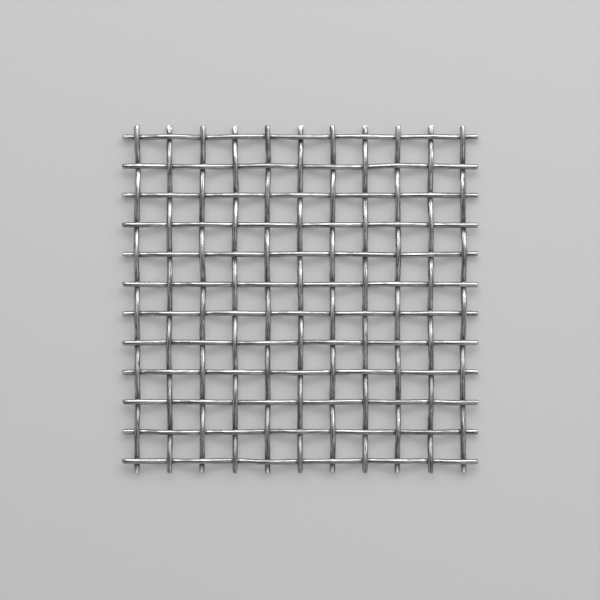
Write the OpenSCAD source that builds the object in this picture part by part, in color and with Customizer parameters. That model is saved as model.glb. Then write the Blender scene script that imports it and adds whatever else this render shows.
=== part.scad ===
// Plain-weave wire gauze: a square of crimped steel wires, each passing over one
// cross wire and under the next, with the cut ends standing past the outermost
// crossings. The sheet lies flat, with its centre over the origin and the
// undersides of its lowest crimps on the plane z = 0.

/* [Sheet] */
// Width of the gauze along the weft wires, over their cut ends
sheet_width = 100; // [75:0.05:150]
// Length of the gauze along the warp wires, over their cut ends
sheet_length = 97.65; // [75:0.05:150]

/* [Wire] */
// Diameter of the drawn steel wire
wire_d = 1.6; // [1:0.05:2.2]
// Straight length of wire between one crimp bend and the next
shank_length = 2.4; // [1:0.1:4]
// Width of the chamfer that dressing leaves round each cut end
end_chamfer = 0.25; // [0.05:0.05:0.4]

/* [Weave] */
// Number of warp wires, which run along Y
warp_count = 11; // [7:1:14]
// Number of weft wires, which run along X
weft_count = 12; // [7:1:14]
// Length of each weft wire past the centre of the outermost warp wire
weft_end_length = 4.4; // [2:0.05:5]
// Length of each warp wire past the centre of the outermost weft wire
warp_end_length = 3.45; // [2:0.05:5]
// Clearance between two wires where they cross
crossing_clearance = 0.01; // [0.005:0.005:0.1]

/* [Hidden] */
$fn = 48;
wire_colour = [0.74, 0.74, 0.72];
wire_r = wire_d / 2;
// Height of a wire's centreline above the middle plane where it goes over
crest = (wire_d + crossing_clearance) / 2;
// The lowest crimps touch z = 0, so the middle plane of the weave lies here
middle_z = crest + wire_r;
// Arcs run this many degrees past a crossing and are then cut on its plane
arc_spare = 2;

// Half the distance between wires, in whole microns so that flanks meet exactly
function half_pitch(length, end_length, count) =
    round((length - 2 * end_length) / (count - 1) * 500) / 1000;
warp_half_pitch = half_pitch(sheet_width, weft_end_length, warp_count);
weft_half_pitch = half_pitch(sheet_length, warp_end_length, weft_count);

function numbered(name, k) = str(name, k < 9 ? "_0" : "_", k + 1);
warp_names = [for (k = [0 : warp_count - 1]) numbered("warp_wire", k)];
weft_names = [for (k = [0 : weft_count - 1]) numbered("weft_wire", k)];

// Place of crossing k along a wire that has this many, centred on zero
function crossing(k, count, half) = (2 * k - count + 1) * half;

// Angle of the straight shanks to the middle plane. The bends on both sides of a
// shank are tangent to it, which fixes the half angle from the rise and the run.
function slope(half) = 2 * atan(crest / (half + shank_length / 2));

// Centreline radius of a crimp bend, from the run that the shank leaves to it
function bend_radius(half) =
    (half - shank_length / 2 * cos(slope(half))) / sin(slope(half));

// Height of the centreline at a distance from a crossing where the wire goes over
function wave_height(run, half) =
    let (bend = bend_radius(half))
    run < bend * sin(slope(half))
        ? crest - bend + sqrt(bend * bend - run * run)
        : (half - run) * tan(slope(half));

// The bend at the +Z end of a shank, which turns towards -X
module crimp_bend(half) {
    bend = bend_radius(half);
    translate([-bend, 0, shank_length / 2])
        rotate([90, 0, 0])
            rotate_extrude(angle = slope(half) + arc_spare)
                translate([bend, 0]) circle(r = wire_r);
}

// Wire from a crossing where it is up, at x = 0, to the next, where it is down
module falling_flank(half) {
    translate([half, 0, 0])
        rotate([0, 90 + slope(half), 0]) {
            cylinder(r = wire_r, h = shank_length, center = true);
            crimp_bend(half);
            rotate([0, 180, 0]) crimp_bend(half);
        }
}

// The space between two planes across a wire
module slab(from, to) {
    reach = sheet_width;
    linear_extrude(height = reach, center = true)
        polygon([[from, -reach], [to, -reach], [to, reach], [from, reach]]);
}

// Wire from crossing k to the next, or to the edge of the sheet. A flank is the
// mirror image of its neighbour in the plane of the crossing where they meet.
module flank(k, length, count, half, side) {
    start = crossing(k, count, half);
    finish = crossing(k + 1, count, half);
    intersection() {
        translate([start, 0, 0]) rotate([side > 0 ? 0 : 180, 0, 0]) falling_flank(half);
        slab(max(start, -length / 2), min(finish, length / 2));
    }
}

// A cut end that faces along X, at the given place, with its rim chamfered
module dressed_end(x, z, facing) {
    rim_r = wire_r - end_chamfer;
    cone = abs(x);
    intersection() {
        children();
        translate([x, 0, z])
            rotate([0, -90 * facing, 0]) cylinder(r1 = rim_r, r2 = rim_r + cone, h = cone);
    }
}

// One whole wire along X about the middle plane, with its tails at k = -1 and last
module crimped_wire(length, count, half, first_side) {
    last = count - 1;
    edge = length / 2;
    end_height = wave_height(edge - crossing(last, count, half), half);
    for (k = [-1 : last]) {
        side = k % 2 == 0 ? first_side : -first_side;
        if (k < 0)
            dressed_end(-edge, first_side * end_height, -1) flank(k, length, count, half, side);
        else if (k < last)
            flank(k, length, count, half, side);
        else
            dressed_end(edge, side * end_height, 1) flank(k, length, count, half, side);
    }
}

// Warp wires are counted from -X, and the first one goes over the first weft wire
module warp_wire(k) {
    color(wire_colour)
        translate([crossing(k, warp_count, warp_half_pitch), 0, middle_z])
            rotate([0, 0, -90])
                crimped_wire(sheet_length, weft_count, weft_half_pitch, k % 2 == 0 ? 1 : -1);
}

// Weft wires are counted from +Y
module weft_wire(k) {
    color(wire_colour)
        translate([0, -crossing(k, weft_count, weft_half_pitch), middle_z])
            crimped_wire(sheet_width, warp_count, warp_half_pitch, k % 2 == 0 ? -1 : 1);
}

for (k = [0 : warp_count - 1])
    warp_wire(k);
for (k = [0 : weft_count - 1])
    weft_wire(k);
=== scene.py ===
"""Looks of a plain-woven steel wire gauze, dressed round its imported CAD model.

Each CAD wire is replaced by a drawn wire on the same crimped path. The drawn wire
wanders a little in the plane of the sheet, its section is never quite round, and
the shears have given each of its ends a cut of its own. Lengths are in metres
where nothing else is said.
"""

import logging
import math
from dataclasses import dataclass, field
from enum import Enum
from typing import ClassVar

import bpy
import numpy as np
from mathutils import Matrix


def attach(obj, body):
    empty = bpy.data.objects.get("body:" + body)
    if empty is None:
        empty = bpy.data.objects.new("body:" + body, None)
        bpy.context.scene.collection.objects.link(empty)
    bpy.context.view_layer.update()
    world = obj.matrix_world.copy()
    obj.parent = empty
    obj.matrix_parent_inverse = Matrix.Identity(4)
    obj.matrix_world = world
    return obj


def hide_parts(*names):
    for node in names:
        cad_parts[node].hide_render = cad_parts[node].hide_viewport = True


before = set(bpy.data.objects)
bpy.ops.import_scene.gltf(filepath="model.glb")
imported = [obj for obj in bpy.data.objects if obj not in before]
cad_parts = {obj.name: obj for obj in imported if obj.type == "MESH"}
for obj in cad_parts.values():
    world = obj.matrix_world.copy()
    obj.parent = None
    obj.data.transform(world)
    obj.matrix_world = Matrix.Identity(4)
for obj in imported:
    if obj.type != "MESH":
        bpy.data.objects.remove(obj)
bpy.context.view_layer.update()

LOG = logging.getLogger("wire_gauze")
MM = 0.001
UP = np.array([0.0, 0.0, 1.0])
FACINGS = (-1.0, 1.0)

Colour = tuple[float, float, float]
Span = tuple[float, float]
Socket = bpy.types.NodeSocket


class Course(Enum):
    """The two sets of wires in the weave, by the name of their CAD nodes."""

    WARP = "warp_wire"
    WEFT = "weft_wire"


def smooth_step(share: np.ndarray) -> np.ndarray:
    """Eases a share from 0 to 1 with a level start and finish.

    Args:
        share: any values; below 0 counts as 0 and above 1 as 1.

    Returns:
        Three times the square less twice the cube of each clipped share.
    """
    clipped = np.clip(share, 0.0, 1.0)
    return clipped * clipped * (3.0 - 2.0 * clipped)


@dataclass(frozen=True)
class Weave:
    """Sizes of the sheet and its wires, the same as in the CAD model."""

    sheet_width: float = 100.0 * MM
    sheet_length: float = 97.65 * MM
    wire_r: float = 0.8 * MM
    shank: float = 2.4 * MM
    clearance: float = 0.01 * MM
    warp_count: int = 11
    weft_count: int = 12
    warp_half_pitch: float = 4.56 * MM
    weft_half_pitch: float = 4.125 * MM

    @property
    def crest(self) -> float:
        """Height of a centreline above the middle plane where its wire goes over."""
        return self.wire_r + self.clearance / 2

    @property
    def middle(self) -> float:
        """Height of the middle plane above the floor."""
        return self.crest + self.wire_r

    def wires(self, course: Course) -> int:
        """Number of wires in a course."""
        return self.warp_count if course is Course.WARP else self.weft_count

    def place(self, course: Course, number: int) -> float:
        """Finds where a wire stands across the sheet.

        Args:
            course: the set that the wire belongs to.
            number: its place in the set, from 0 at -X for warp and at +Y for weft.

        Returns:
            Its X for a warp wire and its Y for a weft wire, at equal steps from the middle.
        """
        if course is Course.WARP:
            return (2 * number - self.warp_count + 1) * self.warp_half_pitch
        return -(2 * number - self.weft_count + 1) * self.weft_half_pitch


@dataclass(frozen=True)
class CrimpPath:
    """The centreline of a crimped wire: round bends at its crossings, straight between."""

    length: float
    count: int
    half: float
    first_side: int
    crest: float
    shank: float

    @property
    def slope(self) -> float:
        """Angle of the straight shanks, from their tangent bends' rise and run."""
        return 2.0 * math.atan(self.crest / (self.half + self.shank / 2))

    @property
    def bend(self) -> float:
        """Radius of the bends, from the run that the shank leaves to them."""
        return (self.half - self.shank / 2 * math.cos(self.slope)) / math.sin(self.slope)

    def crossing(self, run: np.ndarray) -> tuple[np.ndarray, np.ndarray]:
        """Finds the nearest crossing to places along the wire.

        Args:
            run: distances along the wire from its middle.

        Returns:
            The distance to the nearest crossing, and its side: 1 over, -1 under.
        """
        number = np.rint(run / (2 * self.half) + (self.count - 1) / 2)
        number = np.clip(number, 0, self.count - 1)
        away = np.abs(run - (2 * number - self.count + 1) * self.half)
        return away, self.first_side * (1 - 2 * (number % 2))

    def height(self, run: np.ndarray) -> np.ndarray:
        """Works out the centreline's height above the middle plane.

        Args:
            run: distances along the wire from its middle.

        Returns:
            A circle's arc within a bend's reach of a crossing, and the line through the
            middle plane half a pitch away from it beyond that, both on the crossing's side.
        """
        away, side = self.crossing(run)
        arc = self.crest - self.bend + np.sqrt(np.maximum(self.bend**2 - away**2, 0.0))
        line = (self.half - away) * math.tan(self.slope)
        return side * np.where(away < self.bend * math.sin(self.slope), arc, line)

    def proud_side(self, facing: float) -> float:
        """Finds the face of the sheet that a tail bends towards.

        Args:
            facing: -1 for the wire's first end and 1 for its last.

        Returns:
            1 where the tail rises, past a crossing that it goes under, and -1 where it falls.
        """
        _, side = self.crossing(np.array([facing * self.length / 2]))
        return -float(side[0])


@dataclass(frozen=True)
class Shear:
    """Usual shape of the wire ends along one edge of the sheet.

    Attributes:
        slant: how far the cut slides back, for each unit away from its longest side.
        narrow: share of its width that the tip loses.
        pinch: share of its radius that the tip loses on its proud side.
        reach: length of the tail over which the pinch grows.
        press: 0 where the tail is cut down flat, towards 1 where it is pressed round and level.
        setback: most that an end stands short of the edge of the sheet.
        rim: radius of the rounding round the cut.
    """

    slant: float
    narrow: float
    pinch: float
    reach: float
    press: float
    setback: float
    rim: float


@dataclass(frozen=True)
class CutEnd:
    """One end of a wire, shaped as its edge's shear is, with its longest side at an angle.

    The spreads are the ranges that chance draws from. All are shares of the usual shape, but
    for the angle of the longest side, which is in radians.
    """

    SLANT_SPREAD: ClassVar[Span] = (0.6, 1.4)
    LONG_SIDE_SPREAD: ClassVar[Span] = (-0.5, 0.3)
    NARROW_SPREAD: ClassVar[Span] = (0.6, 1.4)
    PINCH_SPREAD: ClassVar[Span] = (0.85, 1.15)
    SETBACK_SPREAD: ClassVar[Span] = (0.0, 1.0)
    RIM_SPREAD: ClassVar[Span] = (0.75, 1.25)

    slant: float
    long_side: float
    narrow: float
    pinch: float
    reach: float
    press: float
    setback: float
    rim: float

    @classmethod
    def drawn(cls, rng: np.random.Generator, usual: Shear) -> "CutEnd":
        """Makes one of many like ends.

        Args:
            rng: the wire's own source of chance.
            usual: shape that the ends along this edge come near to.

        Returns:
            An end whose cut, pinch and length differ a little from the usual.
        """
        return cls(
            slant=usual.slant * rng.uniform(*cls.SLANT_SPREAD),
            long_side=rng.uniform(*cls.LONG_SIDE_SPREAD),
            narrow=usual.narrow * rng.uniform(*cls.NARROW_SPREAD),
            pinch=usual.pinch * rng.uniform(*cls.PINCH_SPREAD),
            reach=usual.reach,
            press=usual.press,
            setback=usual.setback * rng.uniform(*cls.SETBACK_SPREAD),
            rim=usual.rim * rng.uniform(*cls.RIM_SPREAD),
        )


@dataclass(frozen=True)
class Make:
    """How the wires of one course depart from straight, even and round, and how they are cut.

    Attributes:
        ripple: height of the waves in the skin.
        wander: width of the waves in the centreline.
        shift: most that a whole wire stands beside its place.
        bruise: depth of the deepest dents.
        painted_shade: distance from a crossing within which the wire has painted shade.
        cuts: usual shape of the first and the last ends.
    """

    ripple: float
    wander: float
    shift: float
    bruise: float
    painted_shade: float
    cuts: tuple[Shear, Shear]


@dataclass
class Section:
    """A wire's section at each ring and angle, while its ends are worked.

    Attributes:
        wide: distance from the centreline in the plane of the sheet.
        tall: distance from the centreline along upward.
        upward: direction out of the plane of the sheet, for each ring.
        slide: distance that a point has slid along the wire.
        cut: share of a point that the shears have cut bare.
        clean: share of a crossing's painted shade that is lifted off a pressed tail.
    """

    wide: np.ndarray
    tall: np.ndarray
    upward: np.ndarray
    slide: np.ndarray
    cut: np.ndarray
    clean: np.ndarray


@dataclass
class DrawnWire:
    """One wire of the gauze as a mesh that replaces its CAD node."""

    course: Course
    number: int
    weave: Weave
    make: Make

    # Points round the wire, distance between its rings, and the rings of its caps
    sides: int = 32
    step: float = 0.22 * MM
    rim_rings: int = 5
    face_rings: tuple[float, ...] = (0.82, 0.55, 0.25)
    face_dish: float = 0.05 * MM
    tangent_nudge: float = 0.01 * MM

    # Waves of the centreline, by their number and their shortest and longest wavelength
    drift_count: int = 4
    drift_lengths: Span = (20 * MM, 70 * MM)

    # Waves of the skin, how many share a count of lobes, and the beds at the crossings
    skin_count: int = 15
    skin_lengths: Span = (3.5 * MM, 14 * MM)
    waves_to_lobe: int = 3
    most_lobes: int = 2
    skin_gain: float = 1.6
    bed_length: float = 1.8 * MM

    # Ranges of the dents: distance and length in millimetres, angles in radians, depth a share
    dent_away: Span = (1.0, 1.8)
    dent_turn: Span = (-0.5, 0.5)
    dent_depth: Span = (-0.6, 1.4)
    dent_length: Span = (0.30, 0.50)
    dent_spread: Span = (0.25, 0.55)
    # Dent depth at which a dent gets full painted shade
    full_shade_dent: float = 0.09 * MM

    # Ends: reach of the narrowing, share of the pinch where a tail falls, rate at which a pressed
    # tail loses its painted shade, and bare metal
    narrow_length: float = 1.6 * MM
    under_pinch: float = 0.35
    shade_lift_rate: float = 5.0
    bare_share: float = 0.9
    bare_blend: float = 0.2

    # Steps that give each wire its own chance, and its own draw lines in millimetres
    warp_seed: int = 1000
    spool_step: float = 211.0
    warp_spool: float = 5000.0

    rng: np.random.Generator = field(init=False)
    path: CrimpPath = field(init=False)
    ends: tuple[CutEnd, CutEnd] = field(init=False)

    def __post_init__(self) -> None:
        """Settles the wire's path and the shape of its two ends."""
        warp = self.course is Course.WARP
        weave = self.weave
        self.rng = np.random.default_rng(self.warp_seed * warp + self.number)
        self.path = CrimpPath(
            length=weave.sheet_length if warp else weave.sheet_width,
            count=weave.weft_count if warp else weave.warp_count,
            half=weave.weft_half_pitch if warp else weave.warp_half_pitch,
            first_side=(1 if warp else -1) * (1 if self.number % 2 == 0 else -1),
            crest=weave.crest,
            shank=weave.shank,
        )
        first, last = self.make.cuts
        self.ends = (CutEnd.drawn(self.rng, first), CutEnd.drawn(self.rng, last))

    @property
    def node(self) -> str:
        """Name of the CAD node that this wire replaces."""
        return f"{self.course.value}_{self.number + 1:02d}"

    def cap(self, end: CutEnd) -> tuple[np.ndarray, np.ndarray]:
        """Profile of a cut end, from its rim inwards.

        Args:
            end: the end's shape.

        Returns:
            How far each ring stands short of the tip, and its share of the radius: a quarter
            circle round the rim, then a shallow dish across the cut face.
        """
        turn = np.linspace(0.0, math.pi / 2, self.rim_rings + 1)[1:]
        round_off = end.rim / self.weave.wire_r
        rim_share = 1.0 - round_off * (1.0 - np.cos(turn))
        rim_short = end.rim * (1.0 - np.sin(turn))
        face_share = (1.0 - round_off) * np.array(self.face_rings)
        face_short = self.face_dish * (1.0 - face_share**2)
        return (
            np.concatenate([rim_short, face_short]),
            np.concatenate([rim_share, face_share]),
        )

    def stations(self) -> tuple[np.ndarray, np.ndarray]:
        """Places of all the rings of the mesh.

        Returns:
            Each ring's distance along the wire from its middle, and its share of the radius:
            the first cap from its face outwards, an even body, and the last cap.
        """
        first, last = self.ends
        low = -self.path.length / 2 + first.setback
        high = self.path.length / 2 - last.setback
        rings = int((high - low) / self.step)
        body = np.linspace(low + first.rim, high - last.rim, rings)
        short, share = self.cap(first)
        far_short, far_share = self.cap(last)
        runs = np.concatenate([low + short[::-1], body, high - far_short])
        shares = np.concatenate([share[::-1], np.ones(rings), far_share])
        return runs, shares

    def waves(self, count: int, shortest: float, longest: float) -> np.ndarray:
        """Draws wave numbers and phases for a sum of cosines.

        Args:
            count: number of waves.
            shortest: shortest wavelength.
            longest: longest wavelength.

        Returns:
            Two rows: angle to the metre, and phase.
        """
        turns = 2 * math.pi / self.rng.uniform(shortest, longest, count)
        return np.stack([turns, self.rng.uniform(0, 2 * math.pi, count)])

    def drift(self, run: np.ndarray, waves: np.ndarray) -> np.ndarray:
        """Sideways wander of the centreline in the plane of the sheet.

        Args:
            run: distances along the wire.
            waves: wave numbers and phases.

        Returns:
            The mean of long cosine waves, times the wander and the root of their number, and
            a shift of the whole wire that the first wave's phase settles.
        """
        angle = waves[0] * run[:, None] + waves[1]
        shift = self.make.shift * math.cos(waves[1, 0] * len(waves[1]))
        return shift + self.make.wander * np.cos(angle).mean(axis=1) * math.sqrt(waves.shape[1])

    def skin(self, run: np.ndarray, turn: np.ndarray, waves: np.ndarray) -> np.ndarray:
        """Radius of the wire all over, about the CAD wire's but never more at a crossing.

        Args:
            run: distances along the wire.
            turn: angles round it.
            waves: wave numbers and phases, a few waves for each count of lobes.

        Returns:
            For each distance and angle, the radius plus cosine waves that run along the wire
            while they wind round it in whole lobes, less a shallow bed at each crossing that
            is as deep as the waves are high.
        """
        lobes = np.arange(waves.shape[1]) // self.waves_to_lobe - self.most_lobes
        angle = waves[0] * run[:, None, None] + lobes * turn[None, :, None] + waves[1]
        rise = np.clip(np.cos(angle).mean(axis=2) * self.skin_gain, -1.0, 1.0)
        away, _ = self.path.crossing(run)
        bed = np.exp(-((away / self.bed_length) ** 4))
        return self.weave.wire_r + self.make.ripple * (rise - bed[:, None])

    def bruises(self, run: np.ndarray, turn: np.ndarray) -> np.ndarray:
        """Depth of the dents that the crossing wires have rubbed beside each crossing.

        Args:
            run: distances along the wire.
            turn: angles round it.

        Returns:
            For each distance and angle, the sum of small hollows, each a bell curve along the
            wire times one round it, on the side that faces the crossing wire. About a third
            of the places for them have none.
        """
        path = self.path
        number = np.repeat(np.arange(path.count), 2)
        hand = np.tile(FACINGS, path.count)
        place = (2 * number - path.count + 1) * path.half
        place = place + hand * self.rng.uniform(*self.dent_away, hand.size) * MM
        side = path.first_side * (1 - 2 * (number % 2))
        facing = self.rng.uniform(*self.dent_turn, hand.size) - side * math.pi / 2
        share = np.clip(self.rng.uniform(*self.dent_depth, hand.size), 0.0, 1.0)
        length = self.rng.uniform(*self.dent_length, hand.size) * MM
        spread = self.rng.uniform(*self.dent_spread, hand.size)
        along = self.make.bruise * share * np.exp(-(((run[:, None] - place) / length) ** 2))
        turned = np.angle(np.exp(1j * (turn[:, None] - facing)))
        return along @ np.exp(-((turned / spread) ** 2)).T

    def height(self, run: np.ndarray) -> np.ndarray:
        """Works out the centreline's height above the floor.

        Args:
            run: distances along the wire.

        Returns:
            The crimped path's height. Past the outermost crossing, a tail that rises loses
            the share of its rise that the shears have pressed out of it.
        """
        up = self.path.height(run)
        outermost = (self.path.count - 1) * self.path.half
        for end, facing in zip(self.ends, FACINGS):
            if self.path.proud_side(facing) > 0:
                rise = np.where(run * facing > outermost, up + self.path.crest, 0.0)
                up = up - end.press * rise
        return up + self.weave.middle

    def line(self, run: np.ndarray, waves: np.ndarray) -> np.ndarray:
        """Centreline points in the wire's own frame: along, across and up.

        Args:
            run: distances along the wire.
            waves: wave numbers and phases of its drift.

        Returns:
            One point for each distance.
        """
        return np.stack([run, self.drift(run, waves), self.height(run)], axis=1)

    def axes(self, run: np.ndarray, waves: np.ndarray) -> tuple[np.ndarray, np.ndarray, np.ndarray]:
        """Directions along the wire, across it in the plane of the sheet, and out of that plane.

        Args:
            run: distances along the wire.
            waves: wave numbers and phases of its drift.

        Returns:
            Three unit vectors for each distance: the tangent from points just before and
            after, its cross product with Z, and the cross product of those two.
        """
        nudge = self.tangent_nudge
        along = self.line(run + nudge, waves) - self.line(run - nudge, waves)
        along /= np.linalg.norm(along, axis=1, keepdims=True)
        across = np.cross(UP, along)
        across /= np.linalg.norm(across, axis=1, keepdims=True)
        return along, across, np.cross(along, across)

    def work_end(self, section: Section, run: np.ndarray, end: CutEnd, facing: float) -> None:
        """Shapes one tail as the shears have left it.

        Towards its end the section narrows. On its proud side it is cut down flat to a slope,
        or pressed down in proportion, or something between. Its rings turn upright, as the
        cut is, and their points slide back along the wire by the slant times their distance
        from the longest side.

        Args:
            section: the wire's section, which is changed.
            run: distances along the wire.
            end: the end's shape.
            facing: -1 for the wire's first end and 1 for its last.
        """
        short = self.path.length / 2 - end.setback - run * facing
        near = smooth_step(1.0 - short / self.narrow_length)[:, None]
        section.wide = section.wide * (1.0 - end.narrow * near)
        side = self.path.proud_side(facing)
        pinch = end.pinch if side > 0 else end.pinch * self.under_pinch
        worked = np.clip(1.0 - short / end.reach, 0.0, 1.0)[:, None]
        slope = pinch * worked
        limit = self.weave.wire_r * (1.0 - slope) + self.make.ripple * (slope == 0.0)
        proud = section.tall * side
        bite = smooth_step((proud - limit) / self.make.ripple)
        flat = np.minimum(proud, limit)
        pressed = np.where(proud > 0.0, proud * (1.0 - slope), proud)
        # On a pressed tail the painted crossing shade is lifted, by the press's share
        lifted_shade = end.press * smooth_step(self.shade_lift_rate * worked)
        section.tall = side * (flat + end.press * (pressed - flat))
        section.cut = np.maximum(section.cut, (1.0 - end.press) * bite)
        section.clean = np.maximum(section.clean, lifted_shade)
        section.upward = section.upward + near**2 * (UP - section.upward)
        lean = section.wide * math.cos(end.long_side) + section.tall * math.sin(end.long_side)
        section.slide = section.slide + facing * near**2 * end.slant * (lean - self.weave.wire_r)

    def crossing_shade_mask(self, run: np.ndarray, turn: np.ndarray) -> np.ndarray:
        """Mask of painted shade: the closeness of the wire's skin to the wires that cross it.

        Args:
            run: distances along the wire.
            turn: angles round it.

        Returns:
            A bell curve of the distance from a crossing, times a share that falls from 1 on
            the side that faces the crossing wire to 0 on the other.
        """
        away, side = self.path.crossing(run)
        facing_it = 0.5 - 0.5 * side[:, None] * np.sin(turn)
        return np.exp(-((away[:, None] / self.make.painted_shade) ** 2)) * facing_it

    def surface(self) -> tuple[np.ndarray, np.ndarray, np.ndarray, np.ndarray]:
        """Carries the wire's section along its path.

        Returns:
            Points of the rings in the frame of the sheet, the same points on the wire drawn
            straight in millimetres, the painted shade of each from its closeness to a crossing
            wire or the depth of its dent, and the share of each that the shears have cut.
        """
        run, share = self.stations()
        turn = np.linspace(0.0, 2 * math.pi, self.sides, endpoint=False)
        drift_waves = self.waves(self.drift_count, *self.drift_lengths)
        skin_waves = self.waves(self.skin_count, *self.skin_lengths)
        along, across, upward = self.axes(run, drift_waves)
        bruise = self.bruises(run, turn)
        radius = share[:, None] * (self.skin(run, turn, skin_waves) - bruise)
        bare = smooth_step((self.bare_share - share) / self.bare_blend)
        section = Section(
            wide=radius * np.cos(turn),
            tall=radius * np.sin(turn),
            upward=upward,
            slide=np.zeros_like(radius),
            cut=np.broadcast_to(bare[:, None], radius.shape),
            clean=np.zeros_like(radius),
        )
        for end, facing in zip(self.ends, FACINGS):
            self.work_end(section, run, end, facing)
        wide, tall, slide = section.wide, section.tall, section.slide
        points = (
            self.line(run, drift_waves)[:, None, :]
            + slide[:, :, None] * along[:, None, :]
            + wide[:, :, None] * across[:, None, :]
            + tall[:, :, None] * section.upward[:, None, :]
        )
        straight = np.stack([run[:, None] + slide, wide, tall], axis=2) / MM
        straight[:, :, 0] += self.spool_place()
        # Painted shade next to each crossing, on the side facing the crossing wire, less where
        # lifted
        painted_shade = self.crossing_shade_mask(run, turn) * (1.0 - section.clean)
        # Painted shade in the dents too, full at that depth
        painted_shade = np.maximum(painted_shade, bruise / self.full_shade_dent)
        return self.placed(points), straight, painted_shade, section.cut

    def spool_place(self) -> float:
        """Distance along a spool, in millimetres, that gives each wire its own draw lines."""
        return self.spool_step * self.number + self.warp_spool * (self.course is Course.WARP)

    def placed(self, points: np.ndarray) -> np.ndarray:
        """Turns points from the wire's own frame into the sheet's.

        Args:
            points: along, across and up, on the last axis.

        Returns:
            The same points as X, Y and Z. A warp wire runs from +Y to -Y.
        """
        run, across, up = np.moveaxis(points, -1, 0)
        place = self.weave.place(self.course, self.number)
        if self.course is Course.WARP:
            return np.stack([place + across, -run, up], axis=-1)
        return np.stack([run, place + across, up], axis=-1)

    def faces(self, rings: int) -> list[list[int]]:
        """Faces of a closed tube.

        Args:
            rings: number of rings along it.

        Returns:
            Quads between neighbouring rings, and one face across each end ring.
        """
        row = np.arange(rings - 1)[:, None] * self.sides
        column = np.arange(self.sides)[None, :]
        beside = (column + 1) % self.sides
        corners = (
            row + column,
            row + beside,
            row + self.sides + beside,
            row + self.sides + column,
        )
        quads = np.stack(np.broadcast_arrays(*corners), axis=-1)
        last = (rings - 1) * self.sides + np.arange(self.sides)
        first = np.arange(self.sides)[::-1]
        return [*quads.reshape(-1, 4).tolist(), first.tolist(), last.tolist()]

    def build(self) -> bpy.types.Object:
        """Makes the wire's mesh and sets it in place of its CAD node.

        Returns:
            The new object, at the origin, riding on the gauze's one body.
        """
        points, straight, painted_shade, cut = self.surface()
        mesh = bpy.data.meshes.new(f"drawn_{self.node}")
        mesh.from_pydata(points.reshape(-1, 3), [], self.faces(points.shape[0]))
        mesh.polygons.foreach_set("use_smooth", np.ones(len(mesh.polygons), dtype=bool))
        drawn = mesh.attributes.new("drawn", "FLOAT_VECTOR", "POINT")
        drawn.data.foreach_set("vector", straight.astype(np.float32).ravel())
        for name, values in (("painted_shade", painted_shade), ("cut", cut)):
            layer = mesh.attributes.new(name, "FLOAT", "POINT")
            layer.data.foreach_set("value", values.astype(np.float32).ravel())
        mesh.validate()
        mesh.update()
        wire = bpy.data.objects.new(mesh.name, mesh)
        bpy.context.scene.collection.objects.link(wire)
        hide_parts(self.node)
        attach(wire, "root")
        return wire


@dataclass
class NodeBench:
    """A shader tree with short ways to add and join its nodes."""

    tree: bpy.types.NodeTree

    def fill(self, socket: Socket, value: object) -> None:
        """Joins another node's output to an input, or sets the input to a plain value."""
        if isinstance(value, Socket):
            self.tree.links.new(value, socket)
        else:
            socket.default_value = value

    def add(self, kind: str, **inputs: object) -> bpy.types.Node:
        """Adds a node and fills its inputs.

        Args:
            kind: Blender's name for the kind of node.
            inputs: values or other nodes' outputs, by the input's name with _ for spaces.

        Returns:
            The new node.
        """
        node = self.tree.nodes.new(kind)
        for name, value in inputs.items():
            self.fill(node.inputs[name.replace("_", " ")], value)
        return node

    def read(self, attribute: str, output: str = "Fac") -> Socket:
        """Adds a reader of one of the mesh's attributes.

        Args:
            attribute: the attribute's name.
            output: the reader's output to take.

        Returns:
            The attribute's value.
        """
        node = self.add("ShaderNodeAttribute")
        node.attribute_name = attribute
        return node.outputs[output]

    def ramp(self, share: Socket, stops: tuple[tuple[float, Colour], ...]) -> Socket:
        """Adds a colour ramp.

        Args:
            share: what the ramp reads.
            stops: pairs of position and colour, in order.

        Returns:
            The ramp's colour.
        """
        node = self.add("ShaderNodeValToRGB", Fac=share)
        bands = node.color_ramp.elements
        while len(bands) < len(stops):
            bands.new(0.5)
        for band, (position, colour) in zip(bands, stops):
            band.position = position
            band.color = (*colour, 1.0)
        return node.outputs["Color"]

    def spread(self, share: Socket, low: Span, high: Span) -> Socket:
        """Adds a map from one range to another.

        Args:
            share: what the map reads.
            low: the value read and the value given at the low end.
            high: the same at the high end.

        Returns:
            The mapped value, held within its range.
        """
        node = self.add(
            "ShaderNodeMapRange",
            Value=share,
            From_Min=low[0],
            From_Max=high[0],
            To_Min=low[1],
            To_Max=high[1],
        )
        return node.outputs["Result"]

    def reckon(self, kind: str, first: object, second: object = 0.0) -> Socket:
        """Adds an operation on one or two numbers.

        Args:
            kind: Blender's name for the operation, such as ADD or MULTIPLY.
            first: a number or an output.
            second: a number or an output.

        Returns:
            The result.
        """
        node = self.add("ShaderNodeMath")
        node.operation = kind
        for socket, value in zip(node.inputs, (first, second)):
            self.fill(socket, value)
        return node.outputs["Value"]

    def mix(self, share: object, first: object, second: object) -> Socket:
        """Adds a blend of two colours.

        Args:
            share: how much of the second colour shows.
            first: a colour or an output.
            second: a colour or an output.

        Returns:
            The blended colour.
        """
        node = self.add("ShaderNodeMix")
        node.data_type = "RGBA"
        wanted = (("Factor", "VALUE", share), ("A", "RGBA", first), ("B", "RGBA", second))
        for name, kind, value in wanted:
            socket = next(s for s in node.inputs if s.name == name and s.type == kind)
            self.fill(socket, (*value, 1.0) if isinstance(value, tuple) else value)
        return next(s for s in node.outputs if s.type == "RGBA")


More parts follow.
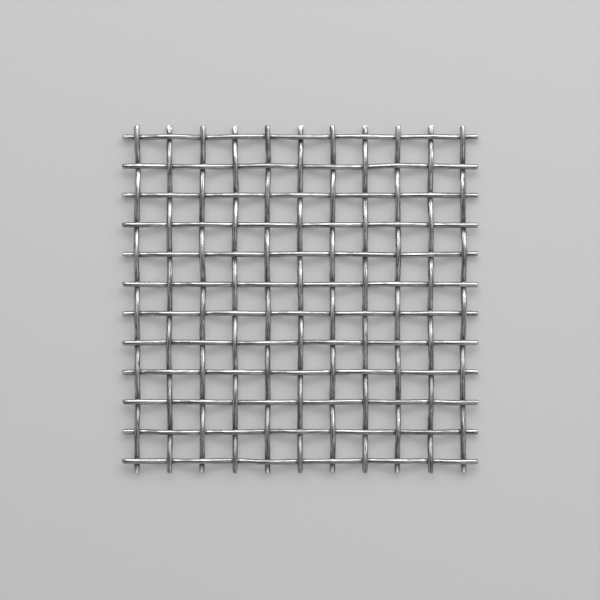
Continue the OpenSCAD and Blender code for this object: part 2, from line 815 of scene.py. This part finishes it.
@dataclass(frozen=True)
class DrawnSteel:
    """Bright steel wire as it leaves the die: fine lines along it, painted shade at crossings and
    dents.

    Scales count features to the millimetre, along the wire and across it. Shares say how much
    of the pattern each kind of line makes up. Edges are the values between which a pattern
    turns from one look to another.

    Attributes:
        smooth: roughness of the brightest lines.
        rough: roughness of the dullest lines.
        score: how much of the steel's colour the score lines hide.
        relief: height of the bump.
        fleck: features to the millimetre along the draw lines.
        torn: roughness of the cuts.
    """

    name: str
    smooth: float
    rough: float
    score: float
    relief: float
    fleck: float
    dull: Colour
    middling: Colour
    bright: Colour = (0.61, 0.61, 0.605)
    scored: Colour = (0.13, 0.127, 0.122)
    # Colour of the painted shade at the crossings and in the dents
    painted_shade_colour: Colour = (0.10, 0.097, 0.093)
    sheared: Colour = (0.62, 0.62, 0.615)
    torn: float = 0.48
    tone_scale: Span = (0.10, 0.9)
    tone_share: float = 0.34
    line_fineness: float = 2.4
    line_share: float = 0.42
    hair_scale: Span = (0.50, 8.0)
    hair_share: float = 0.24
    score_scale: Span = (0.08, 1.5)
    octaves: float = 2.0
    score_octaves: float = 1.0
    noise_roughness: float = 0.6
    noise_middle: float = 0.5
    tint_edges: tuple[float, float, float] = (0.40, 0.48, 0.55)
    score_edges: Span = (0.015, 0.06)
    # Where the painted shade starts and is full, and how much of its colour shows
    painted_shade_edges: Span = (0.10, 0.80)
    painted_shade_depth: float = 0.75
    gloss_edges: Span = (0.38, 0.58)

    def streaks(self, bench: NodeBench, scale: Span, octaves: float) -> Socket:
        """Noise drawn out along the wire.

        Args:
            bench: the material's tree.
            scale: features to the millimetre along the wire and across it.
            octaves: octaves of finer noise.

        Returns:
            The noise, about 0.5 on average.
        """
        along, across = scale
        mapping = bench.add(
            "ShaderNodeMapping",
            Vector=bench.read("drawn", "Vector"),
            Scale=(along, across, across),
        )
        noise = bench.add(
            "ShaderNodeTexNoise",
            Vector=mapping.outputs["Vector"],
            Scale=1.0,
            Detail=octaves,
            Roughness=self.noise_roughness,
        )
        return noise.outputs["Fac"]

    def lines(self, bench: NodeBench, scale: Span, share: float) -> Socket:
        """Draw lines of one fineness, times their share of the pattern."""
        return bench.reckon("MULTIPLY", self.streaks(bench, scale, self.octaves), share)

    def tint(self, bench: NodeBench, drawn: Socket, cut: Socket) -> Socket:
        """Colours the wire.

        Args:
            bench: the material's tree.
            drawn: the pattern of draw lines.
            cut: the share that the shears have cut.

        Returns:
            Dull to bright by the draw lines, under score lines where another noise is near its
            middle, under painted shade at the crossings and in the dents, under the bare metal of
            the cuts.
        """
        steels = (self.dull, self.middling, self.bright)
        colour = bench.ramp(drawn, tuple(zip(self.tint_edges, steels)))
        noise = self.streaks(bench, self.score_scale, self.score_octaves)
        away = bench.reckon("ABSOLUTE", bench.reckon("SUBTRACT", noise, self.noise_middle))
        low, high = self.score_edges
        colour = bench.mix(bench.spread(away, (low, self.score), (high, 0.0)), colour, self.scored)
        # Painted shade at the crossings and in the dents
        low, high = self.painted_shade_edges
        shade = bench.spread(bench.read("painted_shade"), (low, 0.0), (high, self.painted_shade_depth))
        colour = bench.mix(shade, colour, self.painted_shade_colour)
        return bench.mix(cut, colour, self.sheared)

    def material(self) -> bpy.types.Material:
        """Makes the material.

        Returns:
            A metal whose colour, roughness and bump all follow the same draw lines.
        """
        made = bpy.data.materials.new(self.name)
        made.use_nodes = True
        bench = NodeBench(made.node_tree)
        shader = made.node_tree.nodes["Principled BSDF"]
        tone = self.lines(bench, self.tone_scale, self.tone_share)
        lines = self.lines(bench, (self.fleck, self.line_fineness), self.line_share)
        hairs = self.lines(bench, self.hair_scale, self.hair_share)
        grain = bench.reckon("ADD", lines, hairs)
        drawn = bench.reckon("ADD", tone, grain)
        cut = bench.read("cut")
        low, high = self.gloss_edges
        gloss = bench.spread(drawn, (low, self.rough), (high, self.smooth))
        tear = bench.reckon("MULTIPLY", cut, self.torn)
        bump = bench.add("ShaderNodeBump", Height=grain, Strength=1.0, Distance=self.relief)
        bench.fill(shader.inputs["Base Color"], self.tint(bench, drawn, cut))
        bench.fill(shader.inputs["Roughness"], bench.reckon("MAXIMUM", gloss, tear))
        bench.fill(shader.inputs["Normal"], bump.outputs["Normal"])
        shader.inputs["Metallic"].default_value = 1.0
        return made


@dataclass(frozen=True)
class PaleFloor:
    """A plain pale surface under the gauze, a little of whose paleness no shadow takes away."""

    colour: Colour = (0.44, 0.44, 0.437)
    roughness: float = 0.85
    specular: float = 0.15
    glow: Colour = (1.0, 1.0, 0.993)
    paleness: float = 0.18
    side: float = 8.0
    drop: float = 0.02 * MM

    def material(self) -> bpy.types.Material:
        """Makes the floor's material.

        Returns:
            A dull surface that adds its paleness where the camera or a reflection sees it,
            and that lights nothing.
        """
        made = bpy.data.materials.new("pale_floor")
        made.use_nodes = True
        shader = made.node_tree.nodes["Principled BSDF"]
        shader.inputs["Base Color"].default_value = (*self.colour, 1.0)
        shader.inputs["Roughness"].default_value = self.roughness
        shader.inputs["Specular IOR Level"].default_value = self.specular
        shader.inputs["Emission Color"].default_value = (*self.glow, 1.0)
        bench = NodeBench(made.node_tree)
        path = bench.add("ShaderNodeLightPath")
        seen = bench.reckon("ADD", path.outputs["Is Camera Ray"], path.outputs["Is Glossy Ray"])
        pale = bench.reckon("MULTIPLY", seen, self.paleness)
        bench.fill(shader.inputs["Emission Strength"], pale)
        return made

    def build(self) -> bpy.types.Object:
        """Makes the floor just under the lowest crimps.

        Returns:
            A square plane.
        """
        reach = self.side / 2
        corners = np.array([[-1, -1], [1, -1], [1, 1], [-1, 1]]) * reach
        points = np.column_stack([corners, np.full(len(corners), -self.drop)])
        mesh = bpy.data.meshes.new("floor")
        mesh.from_pydata(points.tolist(), [], [[0, 1, 2, 3]])
        mesh.materials.append(self.material())
        floor = bpy.data.objects.new("floor", mesh)
        bpy.context.scene.collection.objects.link(floor)
        return floor


@dataclass(frozen=True)
class Softbox:
    """A soft rectangular lamp that faces the gauze, with its width along X.

    Attributes:
        lean: degrees from overhead towards +Y.
        distance: how far it stands from the gauze's own X axis.
        shift: its place along X.
        radiance: brightness of its face.
    """

    name: str
    lean: float
    distance: float
    shift: float
    width: float
    height: float
    radiance: float

    def build(self) -> bpy.types.Object:
        """Makes the lamp.

        Returns:
            An area lamp whose power is its radiance times its area times pi.
        """
        lamp = bpy.data.lights.new(self.name, "AREA")
        lamp.shape = "RECTANGLE"
        lamp.size, lamp.size_y = self.width, self.height
        lamp.energy = self.radiance * math.pi * self.width * self.height
        box = bpy.data.objects.new(self.name, lamp)
        lean = math.radians(self.lean)
        box.location = (
            self.shift,
            self.distance * math.sin(lean),
            self.distance * math.cos(lean),
        )
        box.rotation_euler = (-lean, 0.0, 0.0)
        box.visible_camera = False
        bpy.context.scene.collection.objects.link(box)
        return box


@dataclass(frozen=True)
class Studio:
    """Floor, light and camera, whose sensor is measured in millimetres."""

    floor: PaleFloor = PaleFloor()
    boxes: tuple[Softbox, ...] = (
        Softbox(
            name="key", lean=45.0, distance=0.70, shift=0.38,
            width=1.80, height=1.00, radiance=0.85,
        ),
        Softbox(
            name="key_core", lean=50.0, distance=0.70, shift=0.40,
            width=1.60, height=0.26, radiance=3.40,
        ),
        Softbox(
            name="crown", lean=5.0, distance=0.95, shift=0.12,
            width=0.90, height=0.20, radiance=0.40,
        ),
        Softbox(
            name="fill", lean=-28.0, distance=0.92, shift=0.50,
            width=1.00, height=0.36, radiance=0.55,
        ),
        Softbox(
            name="left_wing", lean=-10.0, distance=0.75, shift=-1.15,
            width=0.80, height=1.20, radiance=0.60,
        ),
        Softbox(
            name="right_wing", lean=-10.0, distance=0.75, shift=1.15,
            width=0.80, height=1.20, radiance=0.60,
        ),
        Softbox(
            name="low_fill", lean=-66.0, distance=0.85, shift=0.10,
            width=2.20, height=0.50, radiance=0.30,
        ),
    )
    horizon: Colour = (0.17, 0.17, 0.17)
    zenith: Colour = (0.10, 0.10, 0.10)
    zenith_from: float = 0.75
    sensor: float = 36.0
    view_half: float = 83.9 * MM
    view_centre: Span = (-0.02 * MM, -0.30 * MM)
    view_height: float = 0.60
    view_plane: float = 1.6 * MM

    def light_world(self) -> bpy.types.World:
        """Makes the plain grey surround.

        Returns:
            A world that is palest at the horizon and darkest overhead.
        """
        world = bpy.data.worlds.new("surround")
        world.use_nodes = True
        bench = NodeBench(world.node_tree)
        place = bench.add("ShaderNodeTexCoord")
        split = bench.add("ShaderNodeSeparateXYZ", Vector=place.outputs["Generated"])
        stops = ((0.0, self.horizon), (self.zenith_from, self.zenith))
        surround = world.node_tree.nodes["Background"]
        bench.fill(surround.inputs["Color"], bench.ramp(split.outputs["Z"], stops))
        bpy.context.scene.world = world
        return world

    def set_camera(self) -> bpy.types.Object:
        """Sets the camera straight over the gauze, framed as the photograph is.

        Returns:
            The camera, with the lens that sees twice the half view across its sensor.
        """
        lens = bpy.data.cameras.new("camera")
        lens.sensor_width = self.sensor
        lens.lens = self.sensor / 2 * self.view_height / self.view_half
        camera = bpy.data.objects.new("camera", lens)
        camera.location = (*self.view_centre, self.view_height + self.view_plane)
        bpy.context.scene.collection.objects.link(camera)
        bpy.context.scene.camera = camera
        return camera

    def build(self) -> None:
        """Makes the whole studio."""
        self.floor.build()
        for box in self.boxes:
            box.build()
        self.light_world()
        self.set_camera()
        bpy.context.scene.view_settings.view_transform = "Standard"


@dataclass
class Gauze:
    """The woven sheet: all its wires and their finish."""

    weave: Weave = Weave()
    warp_make: Make = Make(
        ripple=0.036 * MM,
        wander=0.14 * MM,
        shift=0.05 * MM,
        bruise=0.09 * MM,
        # Reach of the painted shade at each crossing
        painted_shade=2.2 * MM,
        cuts=(
            Shear(
                slant=0.30,
                narrow=0.06,
                pinch=0.86,
                reach=2.50 * MM,
                press=0.85,
                setback=0.20 * MM,
                rim=0.24 * MM,
            ),
            Shear(
                slant=0.10,
                narrow=0.20,
                pinch=0.18,
                reach=1.40 * MM,
                press=0.0,
                setback=0.02 * MM,
                rim=0.30 * MM,
            ),
        ),
    )
    weft_make: Make = Make(
        ripple=0.022 * MM,
        wander=0.12 * MM,
        shift=0.10 * MM,
        bruise=0.04 * MM,
        # Reach of the painted shade at each crossing
        painted_shade=1.3 * MM,
        cuts=(
            Shear(
                slant=0.24,
                narrow=0.16,
                pinch=0.12,
                reach=1.40 * MM,
                press=0.0,
                setback=0.08 * MM,
                rim=0.42 * MM,
            ),
            Shear(
                slant=0.12,
                narrow=0.08,
                pinch=0.10,
                reach=1.40 * MM,
                press=0.0,
                setback=0.12 * MM,
                rim=0.42 * MM,
            ),
        ),
    )
    warp_steel: DrawnSteel = DrawnSteel(
        name="scuffed_steel",
        smooth=0.20,
        rough=0.46,
        score=0.85,
        relief=0.14 * MM,
        fleck=0.42,
        dull=(0.22, 0.218, 0.212),
        middling=(0.53, 0.53, 0.525),
        bright=(0.68, 0.68, 0.675),
    )
    weft_steel: DrawnSteel = DrawnSteel(
        name="bright_steel",
        smooth=0.12,
        rough=0.28,
        score=0.50,
        relief=0.08 * MM,
        fleck=0.14,
        dull=(0.30, 0.297, 0.29),
        middling=(0.52, 0.52, 0.515),
    )

    def build(self, course: Course) -> list[bpy.types.Object]:
        """Makes every wire of a course.

        Args:
            course: the set of wires to make.

        Returns:
            The wires' objects, in order.
        """
        make = self.warp_make if course is Course.WARP else self.weft_make
        made = []
        for number in range(self.weave.wires(course)):
            wire = DrawnWire(course, number, self.weave, make).build()
            LOG.info("%s: %d faces", wire.name, len(wire.data.polygons))
            made.append(wire)
        return made

    def dress(self, course: Course, wires: list[bpy.types.Object]) -> None:
        """Gives the wires of a course their steel.

        Args:
            course: the set that the wires belong to. The warp is the more scuffed.
            wires: the wires' objects.
        """
        finish = self.warp_steel if course is Course.WARP else self.weft_steel
        steel = finish.material()
        for wire in wires:
            wire.data.materials.append(steel)


def main() -> None:
    """Builds the gauze and the studio, and reports each piece."""
    logging.basicConfig(level=logging.INFO, format="%(message)s")
    gauze = Gauze()
    for course in Course:
        gauze.dress(course, gauze.build(course))
    Studio().build()


if __name__ == "__main__":
    main()
